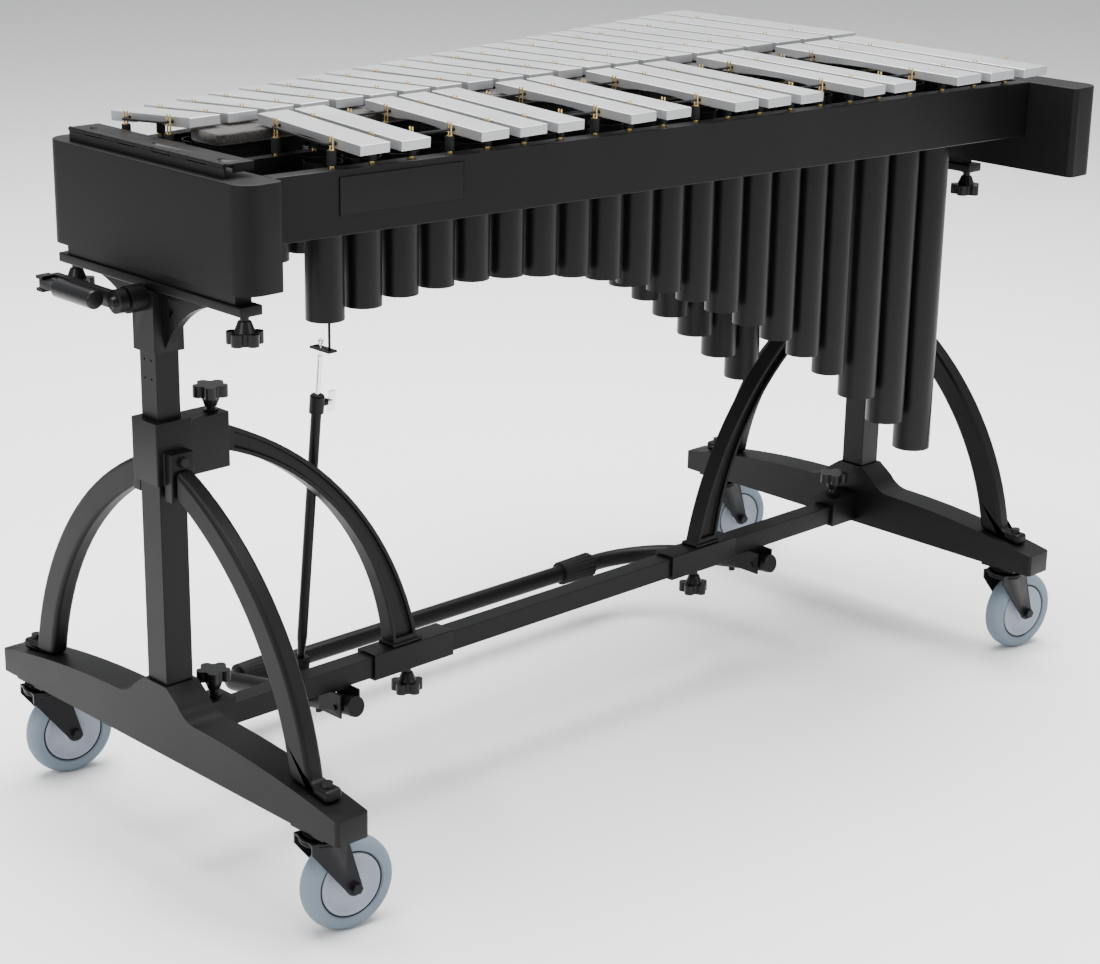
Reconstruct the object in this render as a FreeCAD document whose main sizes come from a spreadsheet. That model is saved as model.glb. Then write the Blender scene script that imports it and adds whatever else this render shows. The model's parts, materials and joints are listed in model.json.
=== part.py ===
import FreeCAD, Part
import math
import os
import Sketcher

# Vibraphone, three octaves, on a crank-height stand with a full-width damper pedal.
# Frame: millimetres, +X along the keyboard from the short (high) bars to the long (low)
# bars, +Y from the audience side to the player's side, +Z up, origin on the floor midway
# between the two posts.

V = FreeCAD.Vector
X_AXIS, Y_AXIS, Z_AXIS = V(1, 0, 0), V(0, 1, 0), V(0, 0, 1)
SIDES = (("left", -1), ("right", 1))
ENDS = (("near", -1), ("far", 1))

doc = FreeCAD.newDocument("vibraphone")
sheet = doc.addObject("Spreadsheet::Sheet", "Dims")

# ------------------------------------------------------------------ driving dimensions
DIMENSIONS = {
    # stand
    "post_x": 695, "post_side": 41, "post_wall": 2.5, "post_top": 590,
    "foot_thick": 50, "foot_half": 368, "foot_bottom": 147, "foot_end_top": 179,
    "foot_shoulder": 209, "foot_shoulder_y": 88, "hump_top": 244, "hump_half": 24,
    "socket_inner_x": 608, "socket_bottom": 153, "socket_top": 200, "socket_half": 20,
    "beam_side": 30, "beam_bottom": 157, "beam_wall": 2,
    "sleeve_side": 38, "sleeve_near_x": 226, "sleeve_far_x": 370,
    "collar_side": 54, "collar_bottom": 514, "collar_top": 594,
    "collar_block_x": 606, "collar_block_half": 20, "collar_block_bottom": 516,
    "collar_block_top": 588, "collar_boss_y": 42,
    "side_arch_width": 26, "side_arch_centre_z": 130,
    "side_arch_outer": 445, "side_arch_outer_y": 140,
    "side_arch_inner": 415, "side_arch_inner_y": 150, "toe_end_y": 334, "toe_top": 209,
    "long_arch_width": 26, "long_arch_outer": 524, "long_arch_outer_x": 799,
    "long_arch_outer_z": 81, "long_arch_inner": 414, "long_arch_inner_x": 742,
    "long_arch_inner_z": 144, "arch_lip": 6, "arch_recess": 6,
    # casters
    "caster_y": 306, "wheel_radius": 62.5, "wheel_width": 31, "caster_trail": 34,
    "caster_yaw": 8, "fork_gap": 39, "fork_sheet": 3, "axle_radius": 4,
    # upper frame
    "inner_post_side": 34.5, "inner_post_bottom": 340, "bracket_bottom": 681,
    "bracket_bar_bottom": 759, "bracket_bar_top": 771, "bracket_half": 191,
    "bracket_width": 32, "panel_inner_x": 655, "panel_thick": 60, "panel_bottom": 785,
    "bed_top": 916, "high_panel_half": 205, "low_panel_half": 392, "panel_wall": 5,
    "rail_height": 80, "rail_thick": 22, "rail_wall": 3,
    "inner_rail_height": 36, "inner_rail_thick": 16,
    # keyboard: the inner and outer ends of each row lie on straight lines, given at the
    # centre of the highest natural bar and by how far they move to the lowest one
    "keys_x": -621.5, "keys_run": 1243, "bar_pitch": 57.5, "low_bar_pitch": 67.5,
    "bar_width": 45.5, "low_bar_width": 55, "bar_thick": 12.7, "bar_top": 951,
    "lift_high": 10, "lift_low": 3, "nodal_part": 0.224,
    "natural_inner_y": -9, "natural_inner_run": 29,
    "natural_outer_y": 161, "natural_outer_run": 229,
    "sharp_inner_y": -29, "sharp_inner_run": 25,
    "sharp_outer_y": -215, "sharp_outer_run": -153,
    "cord_radius": 1.5, "cord_hole_radius": 2.6, "undercut_depth": 3.5,
    "stud_radius": 4, "stud_height": 3, "sleeve_radius": 5.7, "post_sleeve_height": 18,
    "fork_pin_radius": 1.1, "fork_spread": 3.4, "pin_over_cord": 9.5,
    # resonators: each row of tube ends follows a parabola
    "tube_radius": 24.5, "low_tube_radius": 29, "tube_wall": 1.2, "tube_top": 914,
    "arch_x": -335, "near_arch_z": 736, "far_arch_z": 745,
    "near_arch_drop": 0.00047, "far_arch_drop": 0.00042,
    # damper, rod and pedal
    "felt_width": 60, "felt_thick": 17, "felt_half_length": 632, "felt_gap": 2.3,
    "glue_line": 0.05,
    "damper_y": -19, "damper_run": 27, "damper_bar_width": 40, "damper_bar_thick": 6,
    "guide_x": 470, "guide_radius": 4,
    "rod_x": -440, "rod_foot_y": 58, "rod_foot_z": 171, "rod_lean_run": 54,
    "rod_lean_rise": 465, "rod_radius": 3.25, "rod_tube_radius": 7, "rod_tube_top": 378,
    "pedal_arm_x": 426, "pedal_y": -20, "pedal_z": 135, "pedal_reach": 269.3,
    "pedal_slope": 10.3, "pedal_tube_radius": 13.5, "pedal_tube_wall": 2,
    "high_bend": 18, "low_bend": 110,
    # cranks
    "crank_z": 750, "crank_arm_x": 745, "crank_arm_length": 137, "shaft_radius": 5,
    # knobs
    "knob_radius": 23, "knob_head": 15, "knob_neck": 13, "knob_stem": 9,
}


class Size:
    """A number that remembers the sheet expression it came from."""

    def __init__(self, value, text):
        self.value = value
        self.text = text

    def join(self, other, sign, value):
        return Size(value, "(%s %s %s)" % (self.text, sign, size(other).text))

    def __add__(self, other):
        return self.join(other, "+", self.value + number(other))

    def __sub__(self, other):
        return self.join(other, "-", self.value - number(other))

    def __mul__(self, other):
        return self.join(other, "*", self.value * number(other))

    def __truediv__(self, other):
        return self.join(other, "/", self.value / number(other))

    def __radd__(self, other):
        return size(other) + self

    def __rsub__(self, other):
        return size(other) - self

    def __rmul__(self, other):
        return size(other) * self

    def __neg__(self):
        return size(-1) * self


def number(item):
    return item.value if isinstance(item, Size) else float(item)


def size(item):
    return item if isinstance(item, Size) else Size(float(item), "%.9f" % item)


def root_of(item):
    return Size(math.sqrt(item.value), "sqrt(%s)" % item.text)


class Dims:
    """Each alias of the sheet as a Size."""


dim = Dims()
for row, (alias, amount) in enumerate(DIMENSIONS.items(), 1):
    sheet.set("A%d" % row, alias)
    sheet.set("B%d" % row, str(amount))
    sheet.setAlias("B%d" % row, alias)
    setattr(dim, alias, Size(float(amount), "Dims." + alias))
doc.recompute()


# ------------------------------------------------------------------ building blocks
def bind(item, **sizes):
    for prop, amount in sizes.items():
        item.setExpression(prop, size(amount).text)
    return item


def place(item, at, axis=Z_AXIS, angle=0):
    item.Placement = FreeCAD.Placement(V(*[number(a) for a in at]), FreeCAD.Rotation(axis, angle))
    for letter, amount in zip("xyz", at):
        item.setExpression("Placement.Base." + letter, size(amount).text)
    return item


def box(name, low, high):
    """A box from its lowest to its highest corner."""
    item = doc.addObject("Part::Box", name)
    bind(item, Length=high[0] - low[0], Width=high[1] - low[1], Height=high[2] - low[2])
    return place(item, low)


def sized(low, high):
    return [size(a) for a in low], [size(a) for a in high]


def block(name, low, high):
    return box(name, *sized(low, high))


TURNS = {"z": (Z_AXIS, 0), "x": (Y_AXIS, 90), "-x": (Y_AXIS, -90), "y": (X_AXIS, -90),
         "-y": (X_AXIS, 90), "-z": (X_AXIS, 180)}


def rod(name, radius, length, at, way="z"):
    """A round bar that starts at a point and runs one way."""
    item = doc.addObject("Part::Cylinder", name)
    bind(item, Radius=radius, Height=length)
    return place(item, at, *TURNS[way])


def cone(name, radius, end_radius, length, at, way="z"):
    item = doc.addObject("Part::Cone", name)
    bind(item, Radius1=radius, Radius2=end_radius, Height=length)
    return place(item, at, *TURNS[way])


def fuse(name, *items):
    item = doc.addObject("Part::MultiFuse", name)
    item.Shapes = list(items)
    return item


def cut(name, base, *tools):
    item = doc.addObject("Part::Cut", name)
    item.Base = base
    item.Tool = tools[0] if len(tools) == 1 else fuse(name + "_tools", *tools)
    return item


def group(name, *items):
    item = doc.addObject("Part::Compound", name)
    item.Links = list(items)
    return item


def mirror(name, source, normal=X_AXIS):
    item = doc.addObject("Part::Mirroring", name)
    item.Source = source
    item.Normal = normal
    item.Base = V(0, 0, 0)
    return item


def both_ends(name, source, normal=X_AXIS):
    return group(name, source, mirror(name + "_other", source, normal))


def round_edges(name, base, radius, pick):
    """Fillet every edge of the base that the picker accepts."""
    doc.recompute()
    item = doc.addObject("Part::Fillet", name)
    item.Base = base
    chosen = [i for i, edge in enumerate(base.Shape.Edges, 1) if pick(edge)]
    item.Edges = [(i, radius, radius) for i in chosen]
    return item


def origin_plane(body, role):
    return next(item for item in body.Origin.OriginFeatures if item.Role == role)


def arc_between(start, end, radius, turn):
    """Arc centre and angles; turn is 1 for an edge that curves left, -1 for right."""
    middle = (start + end) * 0.5
    chord = end - start
    rise = math.sqrt(max(radius * radius - chord.Length ** 2 / 4, 0))
    across = V(-chord.y, chord.x, 0).normalize()
    centre = middle + across * rise * turn
    first, last = (start, end) if turn > 0 else (end, start)
    angles = [math.atan2(p.y - centre.y, p.x - centre.x) for p in (first, last)]
    return centre, angles


def outline(body, name, role, corners):
    """A closed sketch. A corner is (x, y), or (x, y, radius, turn) where the edge that
    leaves it is an arc."""
    sketch = body.newObject("Sketcher::SketchObject", name)
    sketch.AttachmentSupport = (origin_plane(body, role), [""])
    sketch.MapMode = "FlatFace"
    points = [V(number(c[0]), number(c[1]), 0) for c in corners]
    starts, stops = [], []
    for i, corner in enumerate(corners):
        start, end = points[i], points[(i + 1) % len(points)]
        if len(corner) == 2:
            edge = sketch.addGeometry(Part.LineSegment(start, end), False)
            starts.append((edge, 1))
            stops.append((edge, 2))
        else:
            centre, angles = arc_between(start, end, number(corner[2]), corner[3])
            circle = Part.Circle(centre, Z_AXIS, number(corner[2]))
            edge = sketch.addGeometry(Part.ArcOfCircle(circle, *angles), False)
            starts.append((edge, 1 if corner[3] > 0 else 2))
            stops.append((edge, 2 if corner[3] > 0 else 1))
    for i, corner in enumerate(corners):
        sketch.addConstraint(Sketcher.Constraint("Coincident", *stops[i - 1], *starts[i]))
        for kind, amount in (("DistanceX", corner[0]), ("DistanceY", corner[1])):
            limit = Sketcher.Constraint(kind, -1, 1, *starts[i], number(amount))
            index = sketch.addConstraint(limit)
            sketch.setExpression("Constraints[%d]" % index, size(amount).text)
        if len(corner) > 2:
            limit = Sketcher.Constraint("Radius", starts[i][0], number(corner[2]))
            index = sketch.addConstraint(limit)
            sketch.setExpression("Constraints[%d]" % index, size(corner[2]).text)
    return sketch


def prism(name, role, corners, length, at=(0, 0, 0), midplane=True, axis=Z_AXIS, angle=0):
    """A PartDesign body: one outline, padded."""
    body = doc.addObject("PartDesign::Body", name)
    sketch = outline(body, name + "_outline", role, corners)
    pad = body.newObject("PartDesign::Pad", name + "_pad")
    pad.Profile = sketch
    pad.Midplane = midplane
    bind(pad, Length=length)
    sketch.Visibility = False
    return place(body, at, axis, angle)


def oblique(name, line_y, line_run, half_width, low_z, height, end_x=None, trim=0):
    """A straight rail between the end panels along one of the keyboard's slanted lines."""
    end_x = dim.panel_inner_x if end_x is None else end_x
    edges = []
    for sign in (-1, 1):
        part = (sign * (end_x - trim) - dim.keys_x) / dim.keys_run
        edges.append((sign * (end_x - trim), line_y + line_run * part))
    (x0, y0), (x1, y1) = edges
    half = half_width - trim
    corners = [(x0, y0 - half), (x1, y1 - half), (x1, y1 + half), (x0, y0 + half)]
    return prism(name, "XY_Plane", corners, height, (0, 0, low_z), midplane=False)


NODES = []


def node(name, item):
    item.Label = name
    NODES.append(item)
    return item


# ------------------------------------------------------------------ the stand
def make_foot(name, side):
    """A cast foot: shallow ends, a hump for the post and a socket for the beam."""
    shoulder_in = dim.hump_half + 24
    profile = [
        (-dim.foot_half, dim.foot_bottom), (dim.foot_half, dim.foot_bottom),
        (dim.foot_half, dim.foot_end_top, 1600, 1),
        (dim.foot_shoulder_y, dim.foot_shoulder, 46, -1),
        (shoulder_in, dim.foot_shoulder + 18), (dim.hump_half, dim.hump_top),
        (-dim.hump_half, dim.hump_top), (-shoulder_in, dim.foot_shoulder + 18, 46, -1),
        (-dim.foot_shoulder_y, dim.foot_shoulder, 1600, 1),
        (-dim.foot_half, dim.foot_end_top)]
    casting = prism(name + "_casting", "YZ_Plane", profile, dim.foot_thick,
                    (side * dim.post_x, 0, 0))
    smooth = round_edges(name + "_smooth", casting, 6,
                         lambda e: e.BoundBox.ZLength > 20 and e.BoundBox.YLength < 1)
    xs = sorted([side * dim.socket_inner_x, side * (dim.post_x - dim.foot_thick / 2)],
                key=number)
    socket = block(name + "_socket", (xs[0], -dim.socket_half, dim.socket_bottom),
                   (xs[1], dim.socket_half, dim.socket_top))
    beam_half = dim.beam_side / 2
    hollow = block(name + "_hollow", (xs[0], -beam_half, dim.beam_bottom),
                   (xs[1], beam_half, dim.beam_bottom + dim.beam_side))
    holder = cut(name + "_holder", socket, hollow)
    stud_hole = rod(name + "_stud_hole", 4.3, 30,
                    (side * 628, 0, dim.beam_bottom + dim.beam_side), "z")
    bored = cut(name + "_bored", holder, stud_hole)
    return node(name, fuse(name + "_body", smooth, bored))


def square_tube(name, side_length, wall, at, length):
    half = side_length / 2
    x, y, z = at
    outer = block(name + "_outer", (x - half, y - half, z), (x + half, y + half, z + length))
    inner = half - wall
    core = block(name + "_core", (x - inner, y - inner, z), (x + inner, y + inner, z + length))
    return cut(name, outer, core)


def make_outer_posts():
    """Lower posts, each with the tube inside that carries the lead screw's nut."""
    post = square_tube("lower_post", dim.post_side, dim.post_wall,
                       (dim.post_x, 0, dim.hump_top), dim.post_top - dim.hump_top)
    carrier = rod("nut_tube", 11, 190, (dim.post_x, 0, dim.hump_top))
    thread = rod("nut_thread", 6.1, 190, (dim.post_x, 0, dim.hump_top))
    nut = cut("screw_nut", carrier, thread)
    return node("outer_posts", both_ends("outer_post_pair", group("post_and_nut", post, nut)))


def make_collars():
    """Heads on the lower posts: guide for the inner post, block for the long arch's top
    and a boss on each side for the side arches."""
    half = dim.collar_side / 2
    head = block("collar_head", (dim.post_x - half, -half, dim.collar_bottom),
                 (dim.post_x + half, half, dim.collar_top))
    arm = block("collar_block", (dim.collar_block_x, -dim.collar_block_half,
                                 dim.collar_block_bottom),
                (dim.post_x - half, dim.collar_block_half, dim.collar_block_top))
    bosses = []
    for label, side in ENDS:
        ys = sorted([side * half, side * dim.collar_boss_y], key=number)
        bosses.append(block("collar_boss_" + label, (dim.post_x - 17, ys[0], 494),
                            (dim.post_x + 17, ys[1], 556)))
    solid = fuse("collar_solid", head, arm, *bosses)
    smooth = round_edges("collar_smooth", solid, 2,
                         lambda e: e.BoundBox.ZLength > 30 and e.BoundBox.XLength < 1)
    side = dim.post_side / 2
    bore = block("collar_bore", (dim.post_x - side, -side, dim.collar_bottom),
                 (dim.post_x + side, side, dim.post_top))
    slot = dim.inner_post_side / 2 + 0.4
    top = block("collar_top_hole", (dim.post_x - slot, -slot, dim.post_top),
                (dim.post_x + slot, slot, dim.collar_top))
    stud = rod("collar_stud_hole", 4.3, 40, (620, 0, dim.collar_block_top - 40))
    return node("post_collars", both_ends("collar_pair", cut("collar", smooth, bore, top, stud)))


def make_post_bushes():
    """Plastic guide sleeves between each outer post and its inner post."""
    outer = dim.post_side - 2 * dim.post_wall
    wall = (outer - dim.inner_post_side - 0.6) / 2
    bush = square_tube("bush", outer, wall, (dim.post_x, 0, dim.post_top - 70), 70)
    return node("post_bushes", both_ends("bush_pair", bush))


def circle_reach(radius, centre, other):
    """How far a circle reaches sideways at a level that lies 'other' from its centre."""
    return root_of(radius * radius - other * other) - centre


def make_side_arches(feet):
    """Four curved braces from the collar bosses down to the toes of the feet."""
    end_z = dim.foot_end_top
    drop = dim.side_arch_centre_z
    start_y = dim.collar_boss_y
    outer_r, outer_y = dim.side_arch_outer, dim.side_arch_outer_y
    inner_r, inner_y = dim.side_arch_inner, dim.side_arch_inner_y
    outer_end = circle_reach(outer_r, outer_y, end_z - drop)
    inner_end = circle_reach(inner_r, inner_y, end_z - drop)
    outer_start = circle_reach(outer_r, -drop, start_y + outer_y)
    inner_start = circle_reach(inner_r, -drop, start_y + inner_y)
    profile = [(start_y, inner_start), (start_y, outer_start, outer_r, -1),
               (outer_end, end_z), (inner_end, end_z, inner_r, 1)]
    bow = prism("side_bow", "YZ_Plane", profile, dim.side_arch_width, (dim.post_x, 0, 0))
    half = dim.side_arch_width / 2
    toe = block("arch_toe", (dim.post_x - half, inner_end + 4, end_z),
                (dim.post_x + half, dim.toe_end_y, dim.toe_top - 6))
    hole = rod("toe_hole", 4.2, 60, (dim.post_x, dim.toe_end_y - 15, end_z - 10))
    brace = cut("side_brace", fuse("side_brace_solid", bow, toe), feet[1], hole)
    pair = both_ends("side_pair", brace, Y_AXIS)
    return node("side_arches", both_ends("side_arch_set", pair))


def make_long_arches():
    """Two curved braces in the long direction, hollowed on both faces, standing on the
    beam's sleeves."""
    base_z = dim.beam_bottom + dim.beam_side / 2 + dim.sleeve_side / 2
    start_x = dim.collar_block_x

    def section(name, grow, width):
        outer_r = dim.long_arch_outer - grow
        inner_r = dim.long_arch_inner + grow
        low = base_z + grow * 2
        first = start_x - grow * 2
        outer_low = dim.long_arch_outer_x - root_of(
            outer_r * outer_r - (low - dim.long_arch_outer_z) * (low - dim.long_arch_outer_z))
        inner_low = dim.long_arch_inner_x - root_of(
            inner_r * inner_r - (low - dim.long_arch_inner_z) * (low - dim.long_arch_inner_z))
        outer_high = dim.long_arch_outer_z + root_of(
            outer_r * outer_r - (dim.long_arch_outer_x - first) * (dim.long_arch_outer_x - first))
        inner_high = dim.long_arch_inner_z + root_of(
            inner_r * inner_r - (dim.long_arch_inner_x - first) * (dim.long_arch_inner_x - first))
        corners = [(outer_low, low, outer_r, -1), (first, outer_high), (first, inner_high, inner_r, 1),
                   (inner_low, low)]
        return prism(name, "XZ_Plane", corners, width), outer_low, inner_low

    solid, outer_low, inner_low = section("long_bow", size(0), dim.long_arch_width)
    recess = section("bow_recess", dim.arch_lip, dim.long_arch_width)[0]
    web = section("bow_web", size(0), dim.long_arch_width - 2 * dim.arch_recess)[0]
    channel = cut("bow_channel", recess, web)
    bow = cut("bow_brace", solid, channel)
    flange = block("bow_flange", (outer_low - 5, -dim.sleeve_side / 2 + 3, base_z),
                   (inner_low + 4, dim.sleeve_side / 2 - 3, base_z + 5))
    return node("long_arches", both_ends("long_arch_pair", fuse("bow_and_flange", bow, flange)))


def make_beam():
    """A long square tube between the feet, and the sleeves that the long arches stand on."""
    half = dim.beam_side / 2
    end_x = dim.post_x - dim.foot_thick / 2
    mid = dim.beam_bottom + half
    beam = block("beam_outer", (-end_x, -half, dim.beam_bottom), (end_x, half, mid + half))
    core = half - dim.beam_wall
    bore = block("beam_core", (-end_x, -core, mid - core), (end_x, core, mid + core))
    node("cross_beam", cut("beam_tube", beam, bore))
    edge = dim.sleeve_side / 2
    sleeve = block("sleeve_outer", (dim.sleeve_near_x, -edge, mid - edge),
                   (dim.sleeve_far_x, edge, mid + edge))
    smooth = round_edges("sleeve_smooth", sleeve, 1.5, lambda e: e.BoundBox.XLength > 50)
    hollow = block("sleeve_core", (dim.sleeve_near_x, -half, dim.beam_bottom),
                   (dim.sleeve_far_x, half, mid + half))
    stud = rod("sleeve_stud_hole", 4.3, 4, (296, 0, mid - edge))
    node("beam_sleeves", both_ends("sleeve_pair", cut("sleeve", smooth, hollow, stud)))


def make_pedal_hangers():
    """Brackets under the beam, each with two cheeks and the pedal's pivot pin."""
    x, y, z = dim.pedal_arm_x, dim.pedal_y, dim.pedal_z
    gap = dim.pedal_tube_radius + 1
    plate = block("hanger_plate", (x - gap - 3, -15, dim.beam_bottom - 3),
                  (x + gap + 3, 15, dim.beam_bottom))
    parts = [plate]
    for label, side in SIDES:
        xs = sorted([x + side * gap, x + side * (gap + 3)], key=number)
        cheek = block("cheek_" + label, (xs[0], y - 13, z - 13), (xs[1], 15, dim.beam_bottom))
        parts.append(cheek)
    pin = rod("pivot_pin", 4, 2 * gap + 12, (x - gap - 6, y, z), "x")
    return node("pedal_hangers", both_ends("hanger_pair", fuse("hanger", *parts, pin)))


def hexagon(name, across, height, at, way="z"):
    """A hexagon head: a prism on six corners."""
    item = doc.addObject("Part::Prism", name)
    item.Polygon = 6
    bind(item, Circumradius=across / math.sqrt(3), Height=height)
    return place(item, at, *TURNS[way])


def make_stand_bolts():
    """Cap screws in the arch toes, hexagon heads at the collars and under the feet."""
    parts = []
    for side_name, side in SIDES:
        for end_name, end in ENDS:
            tag = side_name + "_" + end_name
            x = side * dim.post_x
            toe_y = end * (dim.toe_end_y - 15)
            head = rod("toe_head_" + tag, 7, 6, (x, toe_y, dim.toe_top - 6))
            shank = rod("toe_shank_" + tag, 4, 14, (x, toe_y, dim.toe_top - 20))
            parts.append(fuse("toe_bolt_" + tag, head, shank))
            way = "y" if end > 0 else "-y"
            parts.append(hexagon("collar_bolt_" + tag, 12, 6,
                                 (x, end * dim.collar_boss_y, 545), way))
            for step in (-40, 40):
                at = (x, end * dim.caster_y + step, dim.foot_bottom)
                name = "foot_bolt_%s_%s" % (tag, "in" if step < 0 else "out")
                parts.append(hexagon(name, 10, 5, at, "-z"))
    return node("stand_bolts", group("bolt_set", *parts))


# ------------------------------------------------------------------ casters
def caster_frame(side, end):
    """Where a caster's stem stands."""
    return side * dim.post_x, end * dim.caster_y


def turned(item, side, end):
    """Turn a caster piece, drawn at the origin with its wheel towards +X, into place."""
    x, y = caster_frame(side, end)
    return place(item, (x, y, 0), Z_AXIS, -DIMENSIONS["caster_yaw"])


def make_caster_plates():
    parts = []
    for side_name, side in SIDES:
        for end_name, end in ENDS:
            tag = side_name + "_" + end_name
            x, y = caster_frame(side, end)
            plate = block("plate_" + tag, (x - 23, y - 31, dim.foot_bottom - 4),
                          (x + 23, y + 31, dim.foot_bottom))
            cup = cone("cup_" + tag, 21, 26, 7, (x, y, dim.foot_bottom - 11))
            hole = rod("cup_hole_" + tag, 6.1, 11, (x, y, dim.foot_bottom - 11))
            parts.append(cut("plate_cup_" + tag, fuse("plate_stack_" + tag, plate, cup), hole))
    return node("caster_plates", group("plate_set", *parts))


def make_caster(tag, side, end):
    """A pressed fork with its axle, and the wheel."""
    top = dim.foot_bottom - 11.3
    axle_z = dim.wheel_radius
    trail = dim.caster_trail
    crown = rod("crown_" + tag, 27, 8, (0, 0, top - 8))
    king_pin = rod("king_pin_" + tag, 6, 17, (0, 0, top - 8))
    reach = dim.fork_gap / 2
    leg_shape = [(-26, top), (-26, top - 14), (trail - 11, axle_z - 4, 12, 1),
                 (trail + 11, axle_z - 4), (26, top - 10), (26, top)]
    legs = []
    for label, cheek in ENDS:
        legs.append(prism("leg_%s_%s" % (tag, label), "XZ_Plane", leg_shape, dim.fork_sheet,
                          (0, cheek * (reach + dim.fork_sheet / 2), 0)))
    span = dim.fork_gap + 4 * dim.fork_sheet
    axle = rod("axle_" + tag, dim.axle_radius, span, (trail, -span / 2, axle_z), "y")
    nut = hexagon("nut_" + tag, 13, 7, (trail, -reach - dim.fork_sheet, axle_z), "-y")
    bolt = hexagon("bolt_" + tag, 13, 6, (trail, reach + dim.fork_sheet, axle_z), "y")
    bridge = block("bridge_" + tag, (-26, -reach, top - 3), (26, reach, top))
    fork = fuse("fork_" + tag, crown, king_pin, bridge, *legs, axle, nut, bolt)
    node("caster_fork_" + tag, turned(fork, side, end))

    half = dim.wheel_width / 2
    disc = rod("disc_" + tag, dim.wheel_radius, dim.wheel_width, (trail, -half, axle_z), "y")
    tread = round_edges("tread_" + tag, disc, 7, lambda e: e.Curve.TypeId == "Part::GeomCircle")
    hub = rod("hub_" + tag, 14, dim.fork_gap - 1, (trail, -(dim.fork_gap - 1) / 2, axle_z), "y")
    cuts = []
    for label, face in ENDS:
        start = (trail, face * half, axle_z)
        way = "-y" if face > 0 else "y"
        dish = rod("dish_%s_%s" % (tag, label), 38, 3, start, way)
        boss = rod("dish_boss_%s_%s" % (tag, label), 14, 3, start, way)
        cuts.append(cut("dish_ring_%s_%s" % (tag, label), dish, boss))
    bore = rod("bore_" + tag, dim.axle_radius + 0.06, dim.fork_gap,
               (trail, -dim.fork_gap / 2, axle_z), "y")
    wheel = cut("wheel_" + tag, fuse("wheel_solid_" + tag, tread, hub), bore, *cuts)
    node("caster_wheel_" + tag, turned(wheel, side, end))


# ------------------------------------------------------------------ star knobs
def make_knob(name, at, way, stem):
    """A five-lobed star knob on a tapered neck and a threaded stem."""
    lobe = dim.knob_radius / 3
    ring = dim.knob_radius - lobe
    neck_z = size(stem)
    head_z = neck_z + dim.knob_neck
    parts = [rod(name + "_stem", 4, neck_z + 3.6, (0, 0, -3.6)),
             rod(name + "_washer", 9, 2, (0, 0, 0)),
             cone(name + "_neck", 8, 13, dim.knob_neck, (0, 0, neck_z)),
             rod(name + "_shank", 5.5, neck_z, (0, 0, 0)),
             rod(name + "_core", ring + 1, dim.knob_head, (0, 0, head_z))]
    for i in range(5):
        angle = math.radians(72 * i + 18)
        at_lobe = (ring * math.cos(angle), ring * math.sin(angle), head_z)
        parts.append(rod("%s_lobe_%d" % (name, i), lobe, dim.knob_head, at_lobe))
    knob = fuse(name + "_solid", *parts)
    return node(name, place(knob, at, *TURNS[way]))


def make_knobs():
    for side_name, side in SIDES:
        make_knob("collar_knob_" + side_name, (side * 620, 0, dim.collar_block_top), "z", 6)
        make_knob("socket_knob_" + side_name, (side * 628, 0, dim.socket_top), "z", 10)
        under = dim.beam_bottom + dim.beam_side / 2 - dim.sleeve_side / 2
        make_knob("sleeve_knob_" + side_name, (side * 296, 0, under), "-z", 12)
        for end_name, end in ENDS:
            make_knob("bracket_knob_%s_%s" % (side_name, end_name),
                      (side * dim.post_x, end * 176, dim.bracket_bar_bottom), "-z", 8)


# ------------------------------------------------------------------ upper frame
def make_inner_posts():
    length = dim.bracket_bar_bottom - dim.inner_post_bottom
    post = square_tube("upper_post", dim.inner_post_side, size(2),
                       (dim.post_x, 0, dim.inner_post_bottom), length)
    hole = rod("shaft_hole", 8, 40, (dim.post_x, 0, dim.crank_z), "x")
    pins = [rod("index_hole_%d" % i, 1.5, 40, (dim.post_x, 7 if i % 2 else -7, 646 + 24 * (i // 2)),
                "x") for i in range(4)]
    return node("inner_posts", both_ends("inner_post_pair", cut("bored_post", post, hole, *pins)))


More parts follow.
